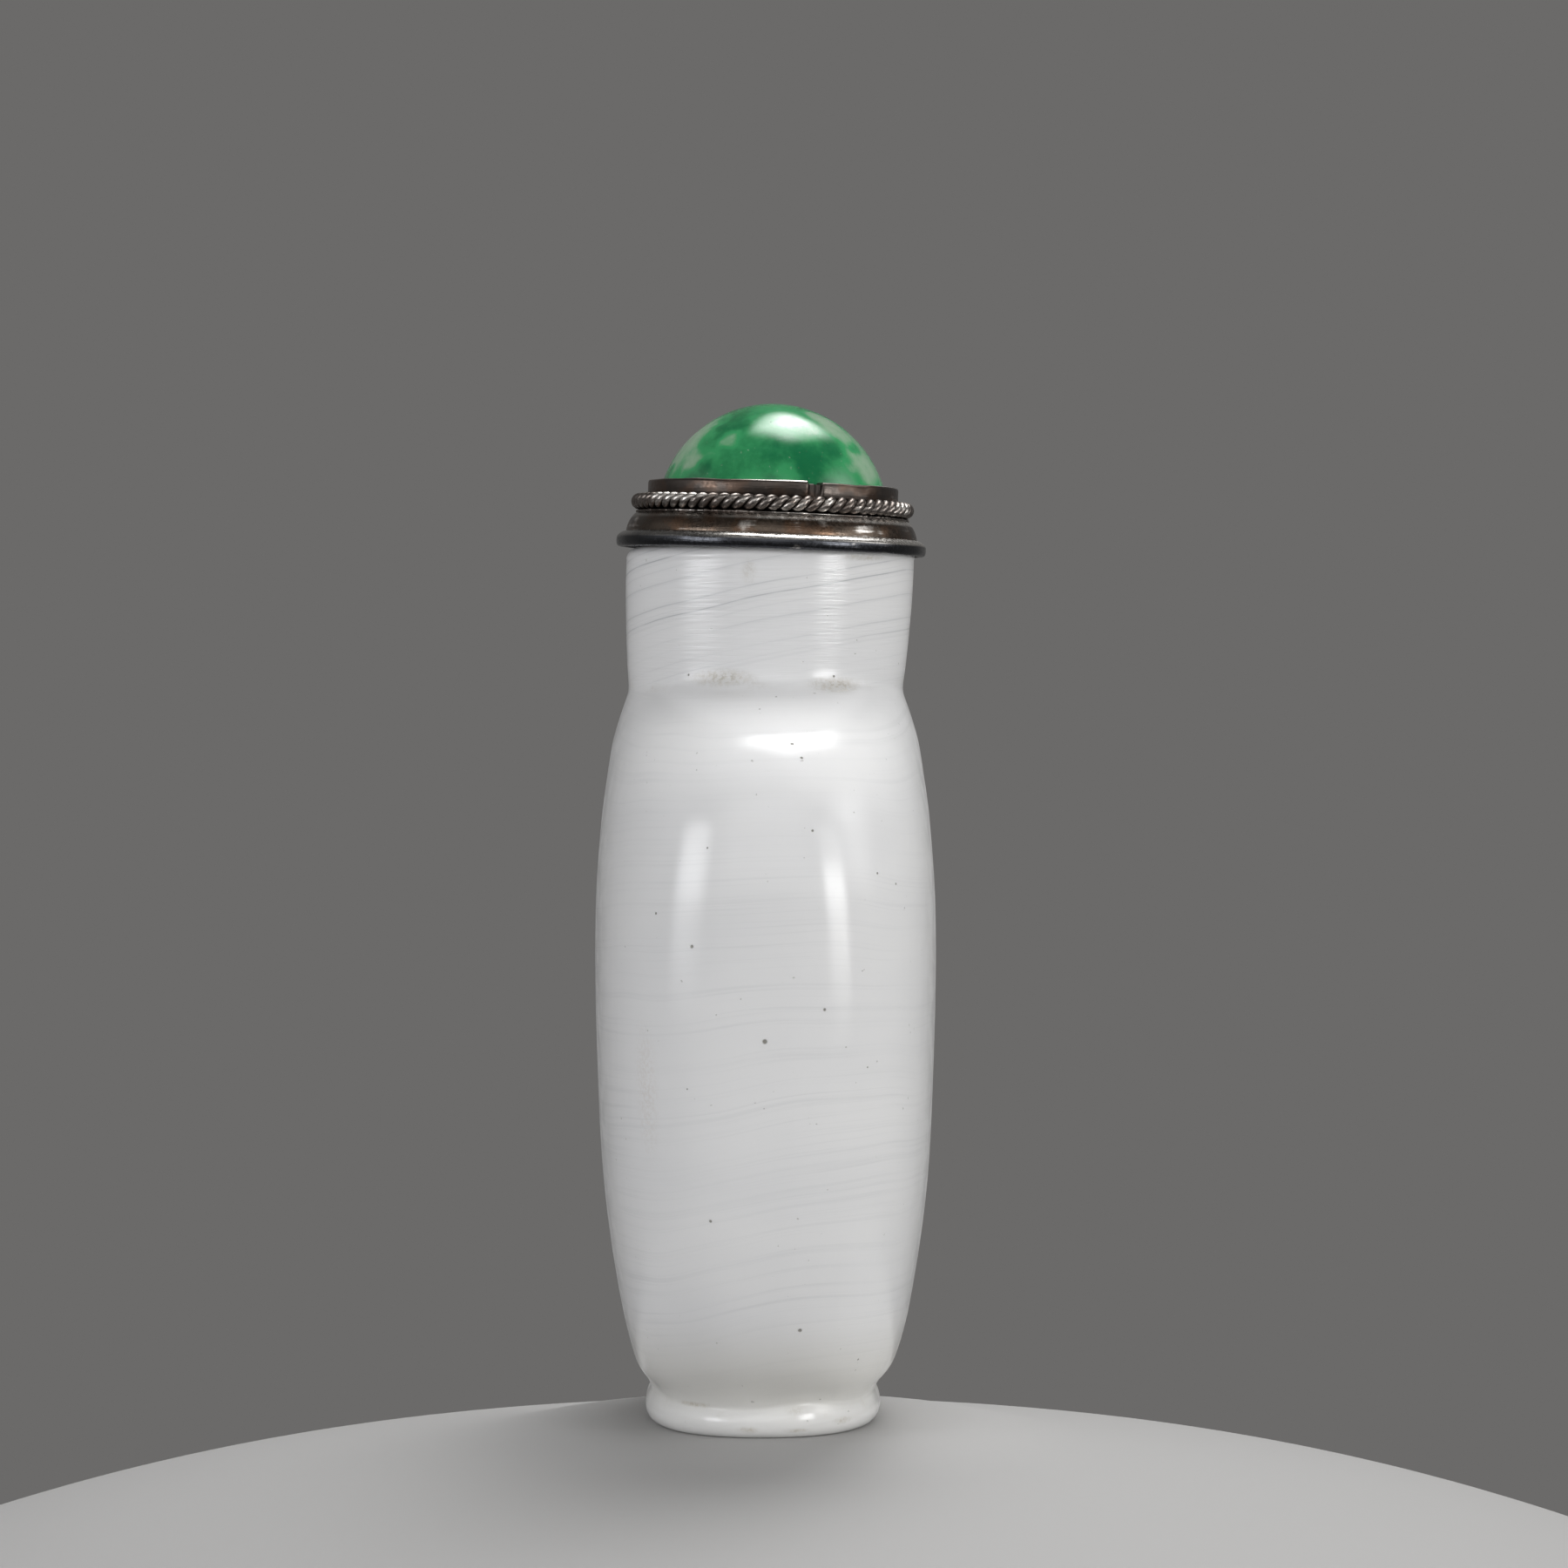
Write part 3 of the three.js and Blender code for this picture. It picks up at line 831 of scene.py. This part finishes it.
def milk_glass():
    """Opaque white glass that lets a little light in, ground on the wheel at the neck and then polished."""
    glass = Finish("milk_glass")
    place = glass.place()
    x, y, z = glass.parts(place)
    in_neck = glass.between(z, 46.0, 48.0)
    on_body = glass.math("SUBTRACT", 1.0, in_neck)
    strands = glass.math("MULTIPLY", neck_strands(glass, place, x, y, z), in_neck)
    veins = glass.math("MULTIPLY", body_veins(glass, place, x, y, z), on_body)
    veins = glass.math("ADD", strands, veins)

    haze = glass.noise(glass.vector_math("MULTIPLY", place, (0.06, 0.06, 0.16)), 1.0, 2.0)
    colour = glass.mix(glass.between(haze, 0.3, 0.7), HAZY_MILK, CLEAR_MILK)
    colour = glass.mix(veins, colour, VEIN_GREY)
    # The glass is made darker and warmer towards the foot: most from about 2.6 to 3 mm up, half as much
    # below 1.2 mm, and none above 8.5 mm.
    low_darkening = glass.math("MULTIPLY", glass.between(z, 8.5, 3.0), glass.between(z, 1.2, 2.6, 0.5, 1.0))
    colour = glass.mix(glass.math("MULTIPLY", low_darkening, 0.8), colour, LOW_GLASS_TONE)

    grain = glass.between(glass.noise(place, 4.0, 4.0, 0.7), 0.4, 0.62)
    dirt = glass_dirt(glass, place, z, grain)
    colour = glass.mix(dirt, colour, CREASE_DIRT)
    stain = glass.vector_math("SUBTRACT", place, on_front(*STAIN))
    stain = glass.vector_math("LENGTH", glass.vector_math("MULTIPLY", stain, (0.7, 0.7, 0.17)))
    stain = glass.math("MULTIPLY", glass.between(stain, 0.2, 1.0, 0.22, 0.0), grain)
    colour = glass.mix(stain, colour, BROWN_STAIN)
    pits = glass_pits(glass, place)
    colour = glass.mix(pits, colour, BUBBLE_DARK)

    wheel = glass.noise(glass.vector_math("MULTIPLY", place, (0.25, 0.25, 4.6)), 1.0, 3.0, 0.6)
    unpolished = glass.between(z, 44.0, 48.0, 0.22, 1.0)
    ground = glass.math("MULTIPLY", glass.math("SUBTRACT", wheel, 0.5), unpolished)
    relief = glass.bump(ground, WHEEL_MARK_DEPTH)
    relief = glass.bump(pits, -PIT_DEPTH, under=relief)
    gloss = glass.between(glass.noise(place, 0.6, 3.0), 0.35, 0.7, 0.13, 0.2)
    gloss = glass.math("MULTIPLY_ADD", dirt, 0.4, gloss)
    glass.surface(Base_Color=colour, Roughness=gloss, Normal=relief, IOR=1.5)
    glass.surface(Subsurface_Weight=0.6, Subsurface_Radius=(1.0, 1.0, 1.0), Subsurface_Scale=1.8 * MM)
    return glass.material


def worn_silver(name, tarnish, rubbed, polish, warm=0.0, edge=None):
    """Silver under a dark skin, bright where it is rubbed, with drag marks round the ring and painted shade
    in its hollows.

    tarnish is the skin's colour, rubbed how much of it is gone, polish the roughness where it is smoothest
    and warm how brown the skin turns in places. edge is (low, high, start): between the two heights on the
    stopper a pale band is painted, mostly from x = start to +X where the light falls: partly rubbed, partly
    a painted highlight.
    """
    silver = Finish(name)
    place = silver.place(STOPPER)
    blotch = silver.noise(place, 0.45, 4.0, 0.6)
    drag = silver.noise(silver.vector_math("MULTIPLY", place, (0.35, 0.35, 5.0)), 1.0, 3.0, 0.6)
    speck = silver.noise(place, 5.0, 3.0, 0.6)
    open_air = silver.hollows(0.7)
    wear = silver.math("ADD", silver.math("MULTIPLY", blotch, 0.8), silver.math("MULTIPLY", drag, 0.45))
    wear = silver.between(wear, 0.62 - rubbed, 0.8 - rubbed)
    wear = silver.math("MULTIPLY", wear, silver.between(open_air, 0.3, 0.9))
    # Painted highlight: a pale band between two heights, strongest towards +X where the light falls, partly
    # a rubbed edge.
    if edge is not None:
        low, high, start = edge
        across, _, height = silver.parts(place)
        patchy = silver.between(silver.noise(place, 0.35, 3.0), 0.3, 0.5, 0.55, 1.0)
        toward_lit_side = silver.between(across, start - 1.5, start + 1.5, 0.3, 1.0)
        patchy = silver.math("MULTIPLY", patchy, toward_lit_side)
        line = silver.math("MULTIPLY", silver.between(height, low, high), patchy)
        wear = silver.math("MAXIMUM", wear, line)
    colour = silver.mix(wear, tarnish, PALE_SILVER)
    if warm:
        brown = silver.between(silver.noise(place, 0.6, 3.0), 0.45, 0.65, 0.0, warm)
        colour = silver.mix(brown, colour, WARM_TARNISH)
    # Painted shade: where occlusion finds hollows and gaps between the pieces, the colour goes towards
    # black, partly grime and partly painted shade.
    grime_and_shade = silver.math("MULTIPLY", silver.between(open_air, 0.7, 0.2), 0.85)
    colour = silver.mix(grime_and_shade, colour, BLACK_GRIME_AND_SHADE)
    rough = silver.between(speck, 0.35, 0.7, polish, polish + 0.16)
    rough = silver.math("MULTIPLY_ADD", grime_and_shade, 0.35, rough)
    relief = silver.bump(drag, 0.03, 0.6)
    relief = silver.bump(speck, 0.012, 0.5, under=relief)
    silver.surface(Base_Color=colour, Roughness=rough, Normal=relief, Metallic=1.0)
    return silver.material


# Clouds in the front of the jade, as (x, height, radius, greenness): 0 is the palest, 1 the deepest.
CLOUDS = [
    (0.0, 9.3, 1.5, 0.45),
    (-1.9, 9.0, 0.7, 0.72),
    (-3.9, 8.1, 1.2, 0.3),
    (-3.3, 8.25, 0.5, 0.75),
    (-5.4, 6.9, 1.7, 0.05),
    (-4.2, 6.7, 0.8, 0.7),
    (-6.2, 5.6, 1.2, 0.12),
    (-5.4, 5.4, 0.6, 0.1),
    (-1.6, 6.0, 2.0, 0.72),
    (-4.4, 5.1, 0.8, 0.95),
    (-6.6, 4.9, 0.5, 0.85),
    (-2.9, 6.9, 0.72, 0.25),
    (0.3, 7.9, 1.6, 0.42),
    (0.4, 6.3, 1.5, 0.86),
    (2.4, 5.7, 1.1, 0.98),
    (3.7, 6.5, 1.2, 0.92),
    (5.1, 6.7, 0.7, 0.85),
    (2.6, 8.7, 1.0, 0.12),
    (3.5, 8.1, 1.1, 0.02),
    (4.4, 7.4, 0.8, 0.15),
    (5.9, 5.4, 1.35, 0.1),
    (0.9, 4.9, 0.8, 0.55),
    (-2.9, 4.9, 0.9, 0.72),
    (4.1, 5.0, 0.9, 0.62),
]


def on_dome(x, height):
    """The point of the stone's front at this x and height, in the stopper's frame."""
    squared = DOME_HALF_WIDTH**2 * (1 - ((height - DOME_CENTRE) / DOME_HALF_HEIGHT) ** 2) - x**2
    return (x, -math.sqrt(max(0.0, squared)), height)


def jade():
    """Polished green stone with clouds that run into each other, and a few pale pores."""
    stone = Finish("jade")
    place = stone.place(STOPPER)
    shift = stone.vector_math("SUBTRACT", stone.cloud(place, 0.7), (0.5, 0.5, 0.5))
    warped = stone.vector_math("ADD", place, shift)
    green = stone.between(stone.noise(warped, 0.22, 2.0, 0.5), 0.32, 0.6, 0.2, 0.9)
    for x, height, radius, greenness in CLOUDS:
        away = stone.vector_math("DISTANCE", warped, on_dome(x, height))
        here = stone.between(away, 1.5 * radius, 0.3 * radius)
        around = stone.math("MULTIPLY", green, stone.math("SUBTRACT", 1.0, here))
        green = stone.math("ADD", around, stone.math("MULTIPLY", here, greenness))
    fibre = stone.math("SUBTRACT", stone.noise(place, 1.8, 4.0, 0.6), 0.5)
    green = stone.math("MULTIPLY_ADD", fibre, 0.35, green, clamp=True)
    colour = stone.mix(stone.between(green, 0.0, 0.5), PALE_JADE, APPLE_JADE)
    colour = stone.mix(stone.between(green, 0.5, 1.0), colour, DEEP_JADE)
    pores = stone.between(stone.noise(place, 5.5, 2.0), 0.7, 0.76)
    colour = stone.mix(stone.math("MULTIPLY", pores, 0.12), colour, PORE_WHITE)
    relief = stone.bump(stone.noise(place, 0.8, 2.0), 0.02, 0.3)
    relief = stone.bump(pores, -0.02, 0.6, under=relief)
    stone.surface(Base_Color=colour, Normal=relief, Roughness=0.12, IOR=1.66)
    stone.surface(Subsurface_Weight=0.25, Subsurface_Radius=(0.5, 1.0, 0.5), Subsurface_Scale=0.5 * MM)
    return stone.material


def cork_bark():
    """Brown bark with dark open holes."""
    cork = Finish("cork_bark")
    place = cork.place(STOPPER)
    grain = cork.noise(place, 1.4, 5.0, 0.65)
    holes = cork.between(cork.noise(place, 2.2, 2.0), 0.62, 0.7)
    colour = cork.mix(grain, CORK_DARK, CORK_LIGHT)
    colour = cork.mix(holes, colour, CORK_HOLE)
    cork.surface(Base_Color=colour, Roughness=0.9, Normal=cork.bump(holes, -0.15))
    return cork.material


# ---- the studio --------------------------------------------------------------------------

EYE_DISTANCE = 390.0
EYE_HEIGHT = 46.8
AIM = (1.17, 0.0, 40.6)
VIEW_WIDTH = 100.6  # what the camera takes in, at the bottle's axis
SENSOR_WIDTH = 36.0

STAND_FLAT = 12.5  # the stand is level as far out as this
STAND_FALL = 125.0  # radius of its slow curve
STAND_EDGE = 78.0
STAND_STEP = 1.1  # it dips by this much just beyond the foot
STAND_STEP_RUN = 5.0
STAND_DEPTH = 40.0
STAND_LIP = (4.6, 4.0)  # half width and height of its rounded edge
STAND_GAP = 0.005  # under the foot
STAND_COLOUR = (0.4, 0.396, 0.392)
COOL_WHITE = (0.98, 0.99, 1.02)
PLAIN_WHITE = (1.0, 1.0, 1.0)
BACKDROP = (0.147, 0.144, 0.141)


def plain_material(name, colour, roughness):
    plain = Finish(name)
    plain.surface(Base_Color=(*colour, 1.0), Roughness=roughness)
    return plain.material


def build_floor():
    """A round pale stand, level under the foot and falling gently away towards its rounded edge."""
    profile = [(radius, 0.0) for radius in (4.0, 9.0, STAND_FLAT)]
    for radius in np.linspace(STAND_FLAT + 1, STAND_EDGE, 66):
        beyond = radius - STAND_FLAT
        step = STAND_STEP * (1 - math.exp(-((beyond / STAND_STEP_RUN) ** 2)))
        profile.append((radius, -(beyond**2) / (2 * STAND_FALL) - step))
    low = profile[-1][1]
    slope = math.atan((STAND_EDGE - STAND_FLAT) / STAND_FALL)
    lip_height = STAND_LIP[1]
    lip_middle = (STAND_EDGE - lip_height * math.sin(slope), low - lip_height)
    profile += arc(lip_middle, STAND_LIP, 90 - math.degrees(slope), 0, 8)[1:]
    profile += [(STAND_EDGE + 2.9, low - STAND_DEPTH)]
    around = np.linspace(0, 2 * math.pi, 128, endpoint=False)
    rings = [[(r * math.cos(a), r * math.sin(a), h - STAND_GAP) for a in around] for r, h in profile]
    floor = loft("floor", rings, poles=[(0, 0, -STAND_GAP), (0, 0, low - STAND_DEPTH)])
    floor.data.materials.append(plain_material("pale_stand", STAND_COLOUR, 0.75))


def soft_box(name, middle, size, glow, fades, tint=PLAIN_WHITE):
    """A soft light that faces the bottle, of a width and height in millimetres.

    It fades out over a share of its size at its sides, its lower edge and its upper edge.
    """
    light = bpy.data.lights.new(name, "AREA")
    light.shape = "RECTANGLE"
    light.color = tint
    light.size, light.size_y = size[0] * MM, size[1] * MM
    light.energy = glow * math.pi * light.size * light.size_y
    light.use_nodes = True
    tree = light.node_tree
    spot = tree.nodes.new("ShaderNodeNewGeometry").outputs["Parametric"]
    split = tree.nodes.new("ShaderNodeSeparateXYZ")
    tree.links.new(spot, split.inputs[0])
    sides, low, high = fades
    strength = None
    for axis, edge, share in [(0, 0.0, sides), (0, 1.0, sides), (1, 0.0, low), (1, 1.0, high)]:
        fade = tree.nodes.new("ShaderNodeMapRange")
        fade.interpolation_type = "SMOOTHSTEP"
        tree.links.new(split.outputs[axis], fade.inputs["Value"])
        fade.inputs["From Min"].default_value = edge
        fade.inputs["From Max"].default_value = abs(edge - share)
        if strength is None:
            strength = fade.outputs[0]
            continue
        both = tree.nodes.new("ShaderNodeMath")
        both.operation = "MULTIPLY"
        tree.links.new(strength, both.inputs[0])
        tree.links.new(fade.outputs[0], both.inputs[1])
        strength = both.outputs[0]
    tree.links.new(strength, tree.nodes["Emission"].inputs["Strength"])
    lamp = bpy.data.objects.new(name, light)
    bpy.context.scene.collection.objects.link(lamp)
    target = Vector((0, 0, LIP_HEIGHT / 2))
    lamp.location = Vector(middle) * MM
    lamp.rotation_euler = (Vector(middle) - target).to_track_quat("Z", "Y").to_euler()


def around_bottle(azimuth, elevation, distance):
    """A point seen from the middle of the bottle. Azimuth 0 is the camera's side, and 90 is +X."""
    a, e = math.radians(azimuth), math.radians(elevation)
    way = Vector((math.sin(a) * math.cos(e), -math.cos(a) * math.cos(e), math.sin(e)))
    return way * distance + Vector((0, 0, LIP_HEIGHT / 2))


def light_studio():
    """Two tall boxes beside the camera, a large one overhead, and wide weak ones that fill the shade."""
    left, right = around_bottle(-56, 8, 700), around_bottle(51, 5.6, 700)
    soft_box("left_strip", left, (560, 349), 6.2, (0.38, 0.56, 0.15), COOL_WHITE)
    soft_box("right_strip", right, (370, 312), 9.0, (0.3, 0.52, 0.15))
    soft_box("overhead", (116, 230, 760), (600, 780), 7.0, (0.35, 0.35, 0.35))
    soft_box("overhead_core", (124, 300, 740), (260, 434), 6.5, (0.5, 0.5, 0.5))
    soft_box("front_fill", around_bottle(0, 24, 1100), (2400, 1100), 3.65, (0.5, 0.8, 0.9))
    soft_box("right_fill", around_bottle(80, 22, 1100), (1200, 900), 3.0, (0.5, 0.5, 0.5))
    soft_box("left_fill", around_bottle(-90, 22, 1100), (1200, 900), 0.5, (0.5, 0.5, 0.5), COOL_WHITE)
    world = bpy.data.worlds.new("studio")
    world.use_nodes = True
    background = world.node_tree.nodes["Background"]
    background.inputs["Color"].default_value = (*BACKDROP, 1.0)
    background.inputs["Strength"].default_value = 1.0
    bpy.context.scene.world = world
    bpy.context.scene.view_settings.view_transform = "Standard"


def place_camera():
    """Looks at the narrow side from a little above its middle."""
    camera = bpy.data.cameras.new("camera")
    camera.sensor_width = SENSOR_WIDTH
    camera.lens = SENSOR_WIDTH * EYE_DISTANCE / VIEW_WIDTH
    camera.clip_start = 0.01
    camera.clip_end = 20.0
    eye = bpy.data.objects.new("camera", camera)
    bpy.context.scene.collection.objects.link(eye)
    aim = Vector(AIM)
    stand = Vector((aim.x, -EYE_DISTANCE, EYE_HEIGHT))
    eye.location = stand * MM
    eye.rotation_euler = (aim - stand).to_track_quat("-Z", "Y").to_euler()
    bpy.context.scene.camera = eye


# ---- the object --------------------------------------------------------------------------


def dress(piece, material, slot, *nodes):
    """Gives a piece its finish, and lets it stand for the solids that it covers."""
    piece.data.materials.clear()
    piece.data.materials.append(material)
    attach(piece, BODY)
    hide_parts(*nodes)


place_camera()
light_studio()
build_floor()

# Each edge band below is partly rubbed wear and partly a painted highlight where the light catches that
# edge.
brown_silver = worn_silver(
    "brown_silver", (0.085, 0.066, 0.052), rubbed=-0.05, polish=0.22, warm=0.28, edge=(1.8, 1.98, -2.5)
)
black_silver = worn_silver(
    "black_silver", (0.05, 0.052, 0.058), rubbed=-0.1, polish=0.17, edge=(0.56, 0.7, -3.5)
)
dark_silver = worn_silver(
    "dark_silver", (0.075, 0.064, 0.057), rubbed=-0.1, polish=0.28, warm=0.2, edge=(4.27, 4.35, -4.0)
)
rope_silver = worn_silver("rope_silver", (0.165, 0.145, 0.132), rubbed=0.02, polish=0.27, warm=0.1)

dress(build_bottle(), milk_glass(), "milk_glass", "bottle")
dress(build_plate(), brown_silver, "worn_silver", "collar_plate")
dress(build_rim_wire(), black_silver, "worn_silver", "collar_rim_wire")
dress(build_twisted_wire(rope_silver), rope_silver, "worn_silver", "twisted_wire")
dress(build_bezel(), dark_silver, "worn_silver", "bezel_band")
dress(build_solder(), rope_silver, "worn_silver")
dress(build_stone(), jade(), "jade", "jade_cabochon")

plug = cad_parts["cork"]
plug.data.materials.clear()
plug.data.materials.append(cork_bark())
